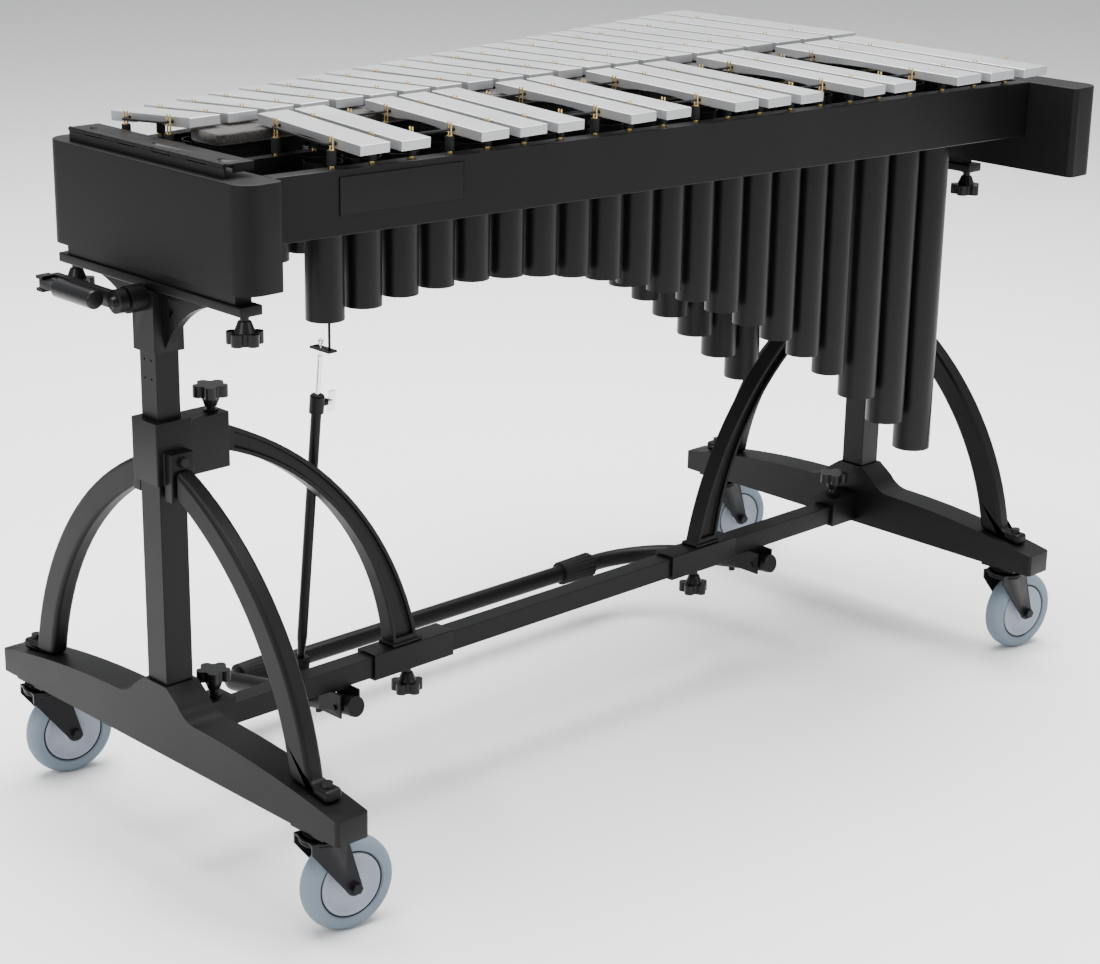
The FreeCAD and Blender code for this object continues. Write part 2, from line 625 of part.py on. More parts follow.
def make_top_brackets():
    """Cast heads on the inner posts: a sleeve, a cross bar with curved gussets, the seat
    for the end panel and the housing for the crank's bevel gears."""
    x, half = dim.post_x, dim.inner_post_side / 2
    bar_low, bar_top = dim.bracket_bar_bottom, dim.bracket_bar_top
    sleeve = block("bracket_sleeve", (x - half - 5, -half - 5, dim.bracket_bottom),
                   (x + half + 5, half + 5, bar_low))
    wide = dim.bracket_width / 2
    bar = block("bracket_bar", (x - wide, -dim.bracket_half, bar_low),
                (x + wide, dim.bracket_half, bar_top))
    soft_bar = round_edges("bracket_bar_soft", bar, 2, lambda e: e.BoundBox.ZLength > 5
                           or e.BoundBox.YLength > 100)
    seat = block("panel_seat", (x - 12, -dim.bracket_half + 16, bar_top),
                 (x + 12, dim.bracket_half - 16, dim.panel_bottom))
    gussets = []
    for label, side in ENDS:
        root_y = side * (half + 5)
        turn = -1 if side > 0 else 1
        shape = [(root_y, bar_low), (root_y, dim.bracket_bottom + 4, 135, turn),
                 (side * (half + 130), bar_low)]
        gusset = prism("gusset_" + label, "YZ_Plane", shape, 12, (x, 0, 0))
        window = [(side * (half + 14), bar_low - 9), (side * (half + 14), bar_low - 34),
                  (side * (half + 36), bar_low - 9)]
        opening = prism("gusset_window_" + label, "YZ_Plane", window, 30, (x, 0, 0))
        boss = rod("knob_boss_" + label, 13, 4, (x, side * 176, bar_low), "z")
        gussets += [cut("gusset_cut_" + label, gusset, opening), boss]
    outer = x + half + 5
    housing = rod("gear_housing", 17, 24, (outer, 0, dim.crank_z), "x")
    solid = fuse("bracket_solid", sleeve, soft_bar, seat, housing, *gussets)
    bore = block("bracket_bore", (x - half, -half, dim.bracket_bottom), (x + half, half, bar_low))
    shaft = rod("bracket_shaft_bore", dim.shaft_radius + 0.06, 60, (x, 0, dim.crank_z), "x")
    studs = [rod("bracket_stud_%d" % side, 4.3, 7, (x, side * 176, bar_low)) for _, side in ENDS]
    return node("top_brackets", both_ends("bracket_pair",
                                          cut("bracket", solid, bore, shaft, *studs)))


def rounded_slab(name, x_out, x_in, half_y, low, high, outer_r, inner_r):
    """A slab with rounded upright corners: its outer side faces away from the keyboard."""
    o, i = size(outer_r), size(inner_r)
    corners = [(x_in, -half_y + i, i, 1), (x_in + i, -half_y), (x_out - o, -half_y, o, 1),
               (x_out, -half_y + o), (x_out, half_y - o, o, 1), (x_out - o, half_y),
               (x_in + i, half_y, i, 1), (x_in, half_y - i)]
    return prism(name, "XY_Plane", corners, high - low, (0, 0, low), midplane=False)


def make_end_panels():
    """Hollow cast end panels, open underneath; the low-note one is the longer."""
    inner, outer = dim.panel_inner_x, dim.panel_inner_x + dim.panel_thick
    wall, top, low = dim.panel_wall, dim.bed_top, dim.panel_bottom
    panels = []
    for (label, side), half in zip(SIDES, (dim.high_panel_half, dim.low_panel_half)):
        shell = rounded_slab("panel_shell_" + label, outer, inner, half, low, top, 26, 8)
        edge = round_edges("panel_edge_" + label, shell, 1.5,
                           lambda e: e.BoundBox.ZLength < 0.1 and e.BoundBox.ZMin > 900)
        hollow = rounded_slab("panel_hollow_" + label, outer - wall, inner + wall, half - wall,
                              low, top - wall, 21, 3)
        cover = block("panel_floor_" + label, (inner + wall, -half + 30, low),
                      (outer - wall, half - 30, low + 4))
        solid = fuse("panel_solid_" + label, cut("panel_" + label, edge, hollow), cover)
        panels.append(mirror("panel_left_side", solid) if side < 0 else solid)
    return node("end_panels", group("panel_pair", *panels))


def make_rails():
    """The bar bed: a front and a back rail, and the two slimmer rails under the inner
    ends of the bars."""
    low = dim.bed_top - dim.rail_height
    outer_rails = []
    for label, line_y, run in (("front", -176, -117), ("back", 124, 185)):
        solid = oblique(label + "_rail_solid", line_y, run, dim.rail_thick / 2, low,
                        dim.rail_height)
        smooth = round_edges(label + "_rail_smooth", solid, 1.5,
                             lambda e: e.BoundBox.XLength > 500)
        hollow = oblique(label + "_rail_hollow", line_y, run, dim.rail_thick / 2, low,
                         dim.rail_height - dim.rail_wall, trim=3)
        outer_rails.append(cut(label + "_rail", smooth, hollow))
    node("bed_rails", group("rail_pair", *outer_rails))
    inner_rails = []
    for label, (line_y, run) in (("natural", inner_line("natural")),
                                 ("sharp", inner_line("sharp"))):
        low = dim.bed_top - dim.inner_rail_height
        inner_rails.append(oblique(label + "_inner_rail", line_y, run,
                                   dim.inner_rail_thick / 2, low, dim.inner_rail_height))
    plates = []
    for side_name, side in SIDES:
        x = side * dim.guide_x
        part = (x - dim.keys_x) / dim.keys_run
        back, back_run = inner_line("natural")
        front, front_run = inner_line("sharp")
        y_back = back + back_run * part - dim.inner_rail_thick / 2 - 2
        y_front = front + front_run * part + dim.inner_rail_thick / 2 + 2
        low = dim.bed_top - dim.inner_rail_height
        plate = block("guide_plate_" + side_name, (x - 20, y_front, low),
                      (x + 20, y_back, low + 5))
        y_bar = dim.damper_y + dim.damper_run * part
        hole = rod("guide_hole_" + side_name, dim.guide_radius + 0.06, 5, (x, y_bar, low))
        for end_name, y_end, y_rail in (("back", y_back, y_back + 2), ("front", y_front, y_front - 2)):
            ys = sorted([y_end, y_rail], key=number)
            plate = fuse("guide_%s_%s" % (side_name, end_name), plate,
                         block("guide_tab_%s_%s" % (side_name, end_name),
                               (x - 6, ys[0], low + 1), (x + 6, ys[1], low + 4)))
        plates.append(cut("guide_" + side_name, plate, hole))
    trimmed = [cut(label + "_tab_end", plate, *inner_rails)
               for label, plate in zip(("left", "right"), plates)]
    node("inner_rails", group("inner_rail_set", *inner_rails, *trimmed))


def make_name_plate():
    """A blank badge on the front rail's outer face."""
    face = dim.rail_thick / 2
    edges = []
    for x in (-564, -382):
        y = -176 - 117 * (x - dim.keys_x) / dim.keys_run - face
        edges.append((size(x), y))
    (x0, y0), (x1, y1) = edges
    corners = [(x0, y0 - 2), (x1, y1 - 2), (x1, y1), (x0, y0)]
    return node("name_plate", prism("plate_badge", "XY_Plane", corners, 47, (0, 0, 860),
                                    midplane=False))


HINGE_X, HINGE_Z, HINGE_LOW, HINGE_HIGH = -702, 931, -155, 165
KNUCKLES = 9


def make_hinge():
    """A long hinge along the high-note panel: a standing leaf and the flap it carries."""
    pitch = (HINGE_HIGH - HINGE_LOW) / KNUCKLES
    leaf = block("leaf_plate", (HINGE_X - 1.5, HINGE_LOW, dim.bed_top),
                 (HINGE_X + 1.5, HINGE_HIGH, HINGE_Z - 3.4))
    flap = block("flap_plate", (HINGE_X + 3.6, HINGE_LOW, HINGE_Z - 0.5),
                 (HINGE_X + 42, HINGE_HIGH, HINGE_Z + 2))
    lip = block("flap_lip", (HINGE_X + 12, HINGE_LOW, HINGE_Z - 9),
                (HINGE_X + 42, HINGE_LOW + 2.5, HINGE_Z + 2))
    rests = [rod("flap_rest_%d" % i, 4, HINGE_Z - 0.8 - dim.bed_top,
                 (HINGE_X + 32, HINGE_LOW + 60 + 200 * i, dim.bed_top)) for i in range(2)]
    groups = ([leaf], [flap, lip])
    for i in range(KNUCKLES):
        moving = i % 2
        start = HINGE_LOW + i * pitch + 0.3
        length = pitch - 0.6
        groups[moving].append(rod("knuckle_%d" % i, 3, length, (HINGE_X, start, HINGE_Z), "y"))
        if moving:
            tab = block("tab_%d" % i, (HINGE_X, start, HINGE_Z - 0.5),
                        (HINGE_X + 4, start + length, HINGE_Z + 2))
        else:
            tab = block("tab_%d" % i, (HINGE_X - 1.5, start, HINGE_Z - 4),
                        (HINGE_X + 1.5, start + length, HINGE_Z))
        groups[moving].append(tab)
    for i in range(3):
        at = (HINGE_X + 16, HINGE_LOW + 28 + i * 132, HINGE_Z + 2)
        groups[1].append(cone("flap_screw_%d" % i, 5, 3.5, 2, at))
    pin = rod("hinge_pin", 1.3, HINGE_HIGH - HINGE_LOW, (HINGE_X, HINGE_LOW, HINGE_Z), "y")
    bore = rod("hinge_bore", 1.36, HINGE_HIGH - HINGE_LOW, (HINGE_X, HINGE_LOW, HINGE_Z), "y")
    fixed = fuse("leaf_and_pin", fuse("leaf_solid", *groups[0]), pin, *rests)
    node("hinge_leaf", fixed)
    node("cover_flap", cut("flap_bored", fuse("flap_solid", *groups[1]), bore))


# ------------------------------------------------------------------ keyboard
def row_lines(row):
    """Inner and outer end lines of a row of bars, as (start, run)."""
    if row == "natural":
        return ((dim.natural_inner_y, dim.natural_inner_run),
                (dim.natural_outer_y, dim.natural_outer_run))
    return ((dim.sharp_inner_y, dim.sharp_inner_run),
            (dim.sharp_outer_y, dim.sharp_outer_run))


def nodal_line(row, from_inner):
    """The line of cord holes, a fixed part of each bar's length from one end."""
    (inner, inner_run), (outer, outer_run) = row_lines(row)
    start, start_run, end, end_run = inner, inner_run, outer, outer_run
    if not from_inner:
        start, start_run, end, end_run = outer, outer_run, inner, inner_run
    return (start + (end - start) * dim.nodal_part,
            start_run + (end_run - start_run) * dim.nodal_part)


def inner_line(row):
    return nodal_line(row, True)


def natural_centres():
    """Centres of the 22 natural bars, high to low, with their widths."""
    centres = []
    x = dim.keys_x
    for i in range(22):
        wide = i >= 18
        centres.append((x, dim.low_bar_width if wide else dim.bar_width))
        if i == 17:
            x = x + (dim.bar_pitch + dim.low_bar_pitch) / 2
        else:
            x = x + (dim.low_bar_pitch if wide else dim.bar_pitch)
    return centres


# gaps between naturals, counted from the high end, that hold an accidental bar
SHARP_GAPS = (1, 2, 4, 5, 6, 8, 9, 11, 12, 13, 15, 16, 18, 19, 20)


def gap_centres():
    """Middle of each of the 21 gaps between neighbouring natural bars."""
    bars = natural_centres()
    gaps = []
    for (x0, w0), (x1, w1) in zip(bars, bars[1:]):
        gaps.append((x0 + w0 / 2 + x1 - w1 / 2) / 2)
    return gaps


def row_bars(row):
    """Each bar of a row as (centre x, width)."""
    if row == "natural":
        return natural_centres()
    gaps = gap_centres()
    return [(gaps[i], dim.low_bar_width if i >= 18 else dim.bar_width) for i in SHARP_GAPS]


def lift_at(part):
    """How far the damper felt raises the inner ends of the bars."""
    return dim.lift_high + (dim.lift_low - dim.lift_high) * part


def cord_height(part, from_inner):
    middle = dim.bar_top - dim.bar_thick / 2
    if not from_inner:
        return middle
    return middle + lift_at(part) * (1 - 2 * dim.nodal_part) / (1 - dim.nodal_part)


def make_bar(name, row, x, width):
    """One bar: flat, drilled along both nodal lines, hollowed underneath, and tilted on
    its outer cord by the felt under its inner end."""
    part = (x - dim.keys_x) / dim.keys_run
    (inner, inner_run), (outer, outer_run) = row_lines(row)
    y_in, y_out = inner + inner_run * part, outer + outer_run * part
    ys = sorted([y_in, y_out], key=number)
    top = dim.bar_top
    plank = block(name + "_plank", (x - width / 2, ys[0], top - dim.bar_thick),
                  (x + width / 2, ys[1], top))
    tools = []
    for from_inner in (True, False):
        line, run = nodal_line(row, from_inner)
        angle = math.degrees(math.atan(number(run) / number(dim.keys_run)))
        hole = doc.addObject("Part::Cylinder", "%s_hole_%d" % (name, from_inner))
        bind(hole, Radius=dim.cord_hole_radius, Height=width + 20)
        middle = line + run * part
        back = (width / 2 + 10) * math.cos(math.radians(angle))
        drift = (width / 2 + 10) * math.sin(math.radians(angle))
        place(hole, (x - back, middle - drift, top - dim.bar_thick / 2))
        turn = FreeCAD.Rotation(Z_AXIS, angle).multiply(FreeCAD.Rotation(Y_AXIS, 90))
        hole.Placement.Rotation = turn
        tools.append(hole)
    span = (ys[1] - ys[0]) * 0.42
    scoop_r = (span * span / 4 + dim.undercut_depth * dim.undercut_depth) / (2 * dim.undercut_depth)
    scoop_z = top - dim.bar_thick + dim.undercut_depth - scoop_r
    tools.append(rod(name + "_scoop", scoop_r, width, (x - width / 2, (ys[0] + ys[1]) / 2,
                                                       scoop_z), "x"))
    bar = cut(name, plank, *tools)
    length = abs(number(y_out) - number(y_in))
    nodal = number(dim.nodal_part)
    tilt = math.degrees(math.atan(number(lift_at(part)) / (length * (1 - nodal))))
    line, run = nodal_line(row, False)
    hinge = V(0, number(line + run * part), number(top - dim.bar_thick / 2))
    sense = -1 if row == "natural" else 1
    bar.Placement = FreeCAD.Placement(V(0, 0, 0), FreeCAD.Rotation(X_AXIS, sense * tilt), hinge)
    return bar


def make_bars():
    for row, label in (("natural", "natural_bars"), ("sharp", "accidental_bars")):
        bars = [make_bar("%s_%02d" % (row, i), row, x, width)
                for i, (x, width) in enumerate(row_bars(row), 1)]
        node(label, group(label + "_row", *bars))


def post_stations(row):
    """Where cord posts stand along a row: in every gap and past both ends."""
    bars = row_bars(row)
    clear = (dim.bar_pitch - dim.bar_width) / 2
    stations = [bars[0][0] - bars[0][1] / 2 - clear]
    for (x0, w0), (x1, w1) in zip(bars, bars[1:]):
        left, right = x0 + w0 / 2, x1 - w1 / 2
        if number(right - left) > 30:
            stations += [left + clear, right - clear]
        else:
            stations.append((left + right) / 2)
    stations.append(bars[-1][0] + bars[-1][1] / 2 + clear)
    return stations


def all_posts():
    """Every cord post as (x, y, cord height, cord angle)."""
    posts = []
    for row in ("natural", "sharp"):
        for from_inner in (True, False):
            line, run = nodal_line(row, from_inner)
            angle = math.degrees(math.atan(number(run) / number(dim.keys_run)))
            for x in post_stations(row):
                part = (x - dim.keys_x) / dim.keys_run
                y = line + run * part
                posts.append((number(x), number(y), number(cord_height(part, from_inner)), angle))
    return posts


def make_posts():
    """Cord posts: a turned stud with a two-pin fork, in a rubber sleeve. Their uneven
    spacing is why each group is one feature made from a single post's shape."""
    base = number(dim.bed_top)
    stud_h, sleeve_h = number(dim.stud_height), number(dim.post_sleeve_height)
    pin_r, spread = number(dim.fork_pin_radius), number(dim.fork_spread)
    metal, rubber = [], []
    for x, y, cord_z, angle in all_posts():
        neck = base + stud_h + sleeve_h
        stud = Part.makeCylinder(number(dim.stud_radius), stud_h, V(0, 0, base))
        core = Part.makeCylinder(2.2, sleeve_h + 1, V(0, 0, base + stud_h))
        foot = Part.makeCylinder(spread / 2 + pin_r + 1, 1, V(0, 0, neck))
        post = stud.fuse([core, foot])
        for side in (-1, 1):
            tall = cord_z + number(dim.pin_over_cord) - neck
            pin = Part.makeCylinder(pin_r, tall, V(0, side * (spread / 2 + pin_r), neck))
            post = post.fuse(pin)
        sleeve = Part.makeCylinder(number(dim.sleeve_radius), sleeve_h, V(0, 0, base + stud_h))
        sleeve = sleeve.cut(Part.makeCylinder(2.2, sleeve_h, V(0, 0, base + stud_h)))
        move = FreeCAD.Placement(V(x, y, 0), FreeCAD.Rotation(Z_AXIS, angle))
        metal.append(moved(post, move))
        rubber.append(moved(sleeve, move))
    for name, shapes in (("bar_posts", metal), ("post_sleeves", rubber)):
        item = doc.addObject("Part::Feature", name + "_group")
        item.Shape = Part.makeCompound(shapes)
        item.Placement = FreeCAD.Placement()
        node(name, item)


def moved(shape, move):
    copy = shape.copy()
    copy.Placement = move
    return copy


def line_rod(name, start, end, radius):
    """A straight round bar between two points."""
    item = doc.addObject("Part::Cylinder", name)
    way = end - start
    bind(item, Radius=radius)
    item.Height = way.Length
    item.Placement = FreeCAD.Placement(start, FreeCAD.Rotation(Z_AXIS, way))
    return item


def make_cords():
    """One suspension cord per row: along the inner holes, round the high end, back along
    the outer holes, its two ends hooked together by a spring at the low end."""
    pieces, springs = [], []
    for row in ("natural", "sharp"):
        stations = post_stations(row)
        high, low = stations[0] - 8, stations[-1] + 9
        corners = []
        for from_inner in (True, False):
            line, run = nodal_line(row, from_inner)
            pair = []
            for x in (high, low):
                part = (x - dim.keys_x) / dim.keys_run
                pair.append(V(number(x), number(line + run * part),
                              number(cord_height(part, from_inner))))
            corners.append(pair)
        (inner_high, inner_low), (outer_high, outer_low) = corners
        wire = cord_wire([inner_low, inner_high, outer_high, outer_low], 8)
        item = doc.addObject("Part::Feature", row + "_cord")
        item.Shape = swept_cord(wire, number(dim.cord_radius))
        pieces.append(item)
        across = outer_low - inner_low
        unit = V(across).normalize()
        hook = 6
        first, last = inner_low + unit * hook, outer_low - unit * hook
        springs.append(line_rod(row + "_cord_spring", first, last, size(3.5)))
        for i, (a, b) in enumerate(((inner_low, first), (outer_low, last))):
            springs.append(line_rod("%s_hook_%d" % (row, i), a + (b - a) * 0.35, b, size(0.8)))
    node("suspension_cords", group("cord_pair", *pieces))
    return springs


def cord_wire(points, radius):
    """Straight runs joined by tangent arcs."""
    edges = []
    start = points[0]
    for before, corner, after in zip(points, points[1:], points[2:]):
        back, ahead = (before - corner).normalize(), (after - corner).normalize()
        half = back.getAngle(ahead) / 2
        reach = radius / math.tan(half)
        enter, leave = corner + back * reach, corner + ahead * reach
        bisector = (back + ahead).normalize()
        centre = corner + bisector * (radius / math.sin(half))
        middle = centre - bisector * radius
        edges += [Part.LineSegment(start, enter).toShape(),
                  Part.Arc(enter, middle, leave).toShape()]
        start = leave
    edges.append(Part.LineSegment(start, points[-1]).toShape())
    return Part.Wire(edges)


def swept_cord(wire, radius):
    start = wire.Edges[0]
    circle = Part.Circle(start.valueAt(start.FirstParameter),
                         start.tangentAt(start.FirstParameter), radius)
    return wire.makePipeShell([Part.Wire(circle.toShape())], True, False)


# ------------------------------------------------------------------ resonators
def row_tubes(row):
    """Each resonator of a row as (x, radius). The front row also fills the gaps where
    the keyboard has no accidental, with tubes that only complete the look."""
    if row == "natural":
        centres = natural_centres()
        return [(x, dim.low_tube_radius if i >= 18 else dim.tube_radius)
                for i, (x, _) in enumerate(centres)]
    gaps = gap_centres()[1:]
    return [(x, dim.low_tube_radius if i >= 17 else dim.tube_radius)
            for i, x in enumerate(gaps)]


def tube_line(row):
    """The middle of a row of tubes, halfway between the bars' ends."""
    (inner, inner_run), (outer, outer_run) = row_lines(row)
    return (inner + outer) / 2, (inner_run + outer_run) / 2


def make_resonators():
    strips = []
    for row, label, peak, drop in (
            ("natural", "natural_resonators", dim.far_arch_z, dim.far_arch_drop),
            ("sharp", "accidental_resonators", dim.near_arch_z, dim.near_arch_drop)):
        line, run = tube_line(row)
        tubes = []
        for i, (x, radius) in enumerate(row_tubes(row), 1):
            name = "%s_tube_%02d" % (row, i)
            y = line + run * (x - dim.keys_x) / dim.keys_run
            away = x - dim.arch_x
            bottom = peak - away * away * drop
            shell = rod(name + "_shell", radius, dim.tube_top - bottom, (x, y, bottom))
            bore = rod(name + "_bore", radius - dim.tube_wall, dim.tube_top - bottom - 2,
                       (x, y, bottom + 2))
            tubes.append(cut(name, shell, bore))
        node(label, group(label + "_row", *tubes))
        for side_name, side in ENDS:
            strip = oblique("%s_strip_%s" % (row, side_name), line + side * 31,
                            run, size(1.2), 878, 16)
            strips.append(strip)
    node("resonator_strips", group("strip_set", *strips))


# ------------------------------------------------------------------ damper
def damper_point(x, below):
    """A point under the inner ends of the bars, so far below their undersides."""
    part = (x - dim.keys_x) / dim.keys_run
    top = dim.bar_top - dim.bar_thick + lift_at(part) - dim.felt_gap
    return size(x), dim.damper_y + dim.damper_run * part, top - below


def sloped_plank(name, half_length, half_width, thick, below):
    """A long flat piece that follows the undersides of the bars: straight, with its
    middle line running from one end point to the other."""
    corners = []
    ends = [damper_point(side * half_length, below) for _, side in SIDES]
    (x0, y0, z0), (x1, y1, z1) = ends
    start, end = V(*map(number, (x0, y0, z0))), V(*map(number, (x1, y1, z1)))
    plank = doc.addObject("Part::Box", name)
    bind(plank, Width=half_width * 2, Height=thick)
    plank.Length = (end - start).Length
    yaw = math.degrees(math.atan2(end.y - start.y, end.x - start.x))
    pitch = math.degrees(math.asin((end.z - start.z) / (end - start).Length))
    turn = FreeCAD.Rotation(yaw, -pitch, 0)
    corner = start - turn.multVec(V(0, number(half_width), number(thick)))
    plank.Placement = FreeCAD.Placement(corner, turn)
    return plank


def make_damper():
    """Felt pad on a steel bar, with the guide rods that slide in the bed and the link
    that reaches down to the pull rod."""
    felt = sloped_plank("felt_pad", dim.felt_half_length, dim.felt_width / 2,
                        dim.felt_thick, size(0))
    node("damper_felt", felt)
    bar = sloped_plank("steel_bar", dim.felt_half_length, dim.damper_bar_width / 2,
                       dim.damper_bar_thick, dim.felt_thick + dim.glue_line)
    parts = [bar]
    low = dim.bed_top - dim.inner_rail_height
    for side_name, side in SIDES:
        x, y, z = damper_point(side * dim.guide_x, dim.felt_thick + 3)
        parts.append(rod("guide_rod_" + side_name, dim.guide_radius, z - low + 20,
                         (x, y, low - 20)))
    x, y, z = damper_point(dim.rod_x, dim.felt_thick + 3)
    foot = rod_point(ROD_LENGTH)
    parts.append(rod("link_wire", 1.8, z - foot.z, (x, y, foot.z)))
    eye = block("link_eye", (dim.rod_x - 7, foot.y - 26, foot.z - 3),
                (dim.rod_x + 7, foot.y + 14, foot.z))
    parts.append(eye)
    slot = block("link_slot", (dim.rod_x - 2.6, foot.y - 12, foot.z - 3),
                 (dim.rod_x + 2.6, foot.y + 12, foot.z))
    node("damper_bar", cut("damper_assembly", fuse("damper_solid", *parts), slot))


def make_springs(cord_springs):
    """Cord springs at the low end, and the damper's springs round its guide rods."""
    low = dim.bed_top - dim.inner_rail_height + 5
    springs = list(cord_springs)
    for side_name, side in SIDES:
        x, y, z = damper_point(side * dim.guide_x, dim.felt_thick + dim.damper_bar_thick)
        height = z - low - 11
        coil = rod("damper_coil_" + side_name, 7.5, height, (x, y, low))
        hollow = rod("damper_coil_bore_" + side_name, 5.5, height, (x, y, low))
        springs.append(cut("damper_spring_" + side_name, coil, hollow))
    node("springs", group("spring_set", *springs))


# ------------------------------------------------------------------ pull rod
ROD_LEAN = math.atan2(DIMENSIONS["rod_lean_run"], DIMENSIONS["rod_lean_rise"])
ROD_LENGTH = 470


def rod_point(along):
    """A point on the leaning rod's axis, so far up from its lower pivot."""
    return V(number(dim.rod_x), number(dim.rod_foot_y) - along * math.sin(ROD_LEAN),
             number(dim.rod_foot_z) + along * math.cos(ROD_LEAN))


def leaning(item):
    """Turn a piece drawn upright from the origin onto the rod's axis."""
    return place(item, (dim.rod_x, dim.rod_foot_y, dim.rod_foot_z), X_AXIS,
                 math.degrees(ROD_LEAN))


def make_pull_rod():
    """A bright rod that slides in a black tube; a wing screw sets its length. Both lean
    together; the tube's fork rides on the pedal's lug."""
    tube_top = dim.rod_tube_top
    tube = rod("rod_tube", dim.rod_tube_radius, tube_top - 45, (0, 0, 45))
    taper = cone("rod_taper", 4.5, dim.rod_tube_radius, 30, (0, 0, 15))
    collar = rod("rod_collar", 10, 23, (0, 0, tube_top))
    crown = cone("rod_crown", 10, 8.5, 2, (0, 0, tube_top + 23))
    boss = rod("screw_boss", 5, 11, (5, 0, tube_top + 12), "x")
    fork_top = block("fork_top", (-10, -8, 10), (10, 8, 15))
    cheeks = [block("fork_cheek_%d" % side, (side * 7 - 3, -8, -9), (side * 7 + 3, 8, 12))
              for side in (-1, 1)]
    solid = fuse("rod_tube_solid", tube, taper, collar, crown, boss, fork_top, *cheeks)
    bore = rod("rod_bore", dim.rod_radius + 0.08, 400, (0, 0, 60))
    thread = rod("screw_bore", 2.6, 20, (0, 0, tube_top + 12), "x")
    slot = block("pivot_slot", (-12, -6.5, -3.2), (12, 6.5, 3.2))
    node("rod_sleeve", leaning(cut("rod_tube_bored", solid, bore, thread, slot)))

    shaft = rod("bright_rod", dim.rod_radius, ROD_LENGTH - 160 - 12, (0, 0, 160))
    neck = rod("rod_neck", 1.6, 26, (0, 0, ROD_LENGTH - 14))
    head = rod("rod_head", 4.4, 4, (0, 0, ROD_LENGTH + 5))
    node("pull_rod", leaning(fuse("bright_rod_solid", shaft, neck, head)))

    screw = rod("wing_thread", 2.5, 21.4, (3.6, 0, tube_top + 12), "x")
    neck = cone("wing_neck", 4.5, 3.5, 6, (16.3, 0, tube_top + 12), "x")
    wings = []
    for side in (-1, 1):
        wings.append(block("wing_%d" % side, (19, -1.4, tube_top + 12 + side * 7 - 7),
                           (30, 1.4, tube_top + 12 + side * 7 + 7)))
    node("wing_screw", leaning(fuse("wing_screw_solid", screw, neck, *wings)))


# ------------------------------------------------------------------ pedal
def tube_piece(name, draw):
    """A length of the pedal's tube: draw(name, radius) makes one of its two surfaces."""
    radius = dim.pedal_tube_radius
    return cut(name, draw(name + "_outer", radius),
               draw(name + "_inner", radius - dim.pedal_tube_wall))


def straight(name, length, at, way):
    return tube_piece(name, lambda label, radius: rod(label, radius, length, at, way))


def bend(name, bend_radius, centre, start_angle):
    """A quarter ring of tube lying flat."""
    def draw(label, radius):
        item = doc.addObject("Part::Torus", label)
        bind(item, Radius1=bend_radius, Radius2=radius)
        item.Angle3 = 90
        return place(item, centre, Z_AXIS, start_angle)
    return tube_piece(name, draw)


def pedal_run():
    """The pedal's tube, drawn flat with its pivot line along X at y = 0: two arms, a
    tight bend at the high end, a wide one at the low end and the foot bar."""
    x, reach = dim.pedal_arm_x, dim.pedal_reach
    high, low = dim.high_bend, dim.low_bend
    return [straight("high_arm", reach - high + 18, (-x, -18, 0), "y"),
            bend("high_bend", high, (high - x, reach - high, 0), 90),
            straight("foot_bar", 2 * x - high - low, (high - x, reach, 0), "x"),
            bend("low_bend", low, (x - low, reach - low, 0), 0),
            straight("low_arm", reach - low + 18, (x, -18, 0), "y")]


def pedal_place(item):
    """Tip a piece drawn flat down towards the player and set it on the pivot."""
    return place(item, (0, dim.pedal_y, dim.pedal_z), X_AXIS, -DIMENSIONS["pedal_slope"])


def make_pedal():
    radius = dim.pedal_tube_radius
    extras = pedal_run()
    for side_name, side in SIDES:
        cap = rod("arm_cap_" + side_name, radius + 1, 8, (side * dim.pedal_arm_x, -18, 0), "-y")
        screw = hexagon("arm_screw_" + side_name, 9, 6,
                        (side * dim.pedal_arm_x, 60, -radius + 1), "-z")
        extras += [cap, screw]
    lug = block("rod_lug", (dim.rod_x - 3.2, 60, 0), (dim.rod_x + 3.2, 92, 14))
    solid = fuse("pedal_solid", *extras, lug)
    holes = [rod("arm_hole_" + name, 4.06, 40, (side * dim.pedal_arm_x - 20, 0, 0), "x")
             for name, side in SIDES]
    flat = pedal_place(cut("pedal_flat", solid, *holes))
    y, z = dim.rod_foot_y, dim.rod_foot_z
    ear = block("rod_ear", (dim.rod_x - 3.2, y - 8, 128), (dim.rod_x + 3.2, y + 8, z + 7))
    pin = rod("rod_pin", 2.8, 22, (dim.rod_x - 11, y, z), "x")
    node("pedal_frame", fuse("pedal_whole", flat, ear, pin))

    couplings = []
    for label, x0, length in (("high", -408, 58), ("low", 242, 64)):
        body = cone("coupling_body_" + label, 19, 20.5, length, (x0, dim.pedal_reach, 0), "x")
        grooves = []
        for i in range(20):
            angle = math.radians(18 * i)
            at = (x0 + 6, dim.pedal_reach + 20.6 * math.cos(angle), 20.6 * math.sin(angle))
            grooves.append(rod("groove_%s_%02d" % (label, i), 1.7, length, at, "x"))
        bore = rod("coupling_bore_" + label, radius, length, (x0, dim.pedal_reach, 0), "x")
        couplings.append(cut("coupling_" + label, body, bore, *grooves))
    node("pedal_couplings", pedal_place(group("coupling_pair", *couplings)))


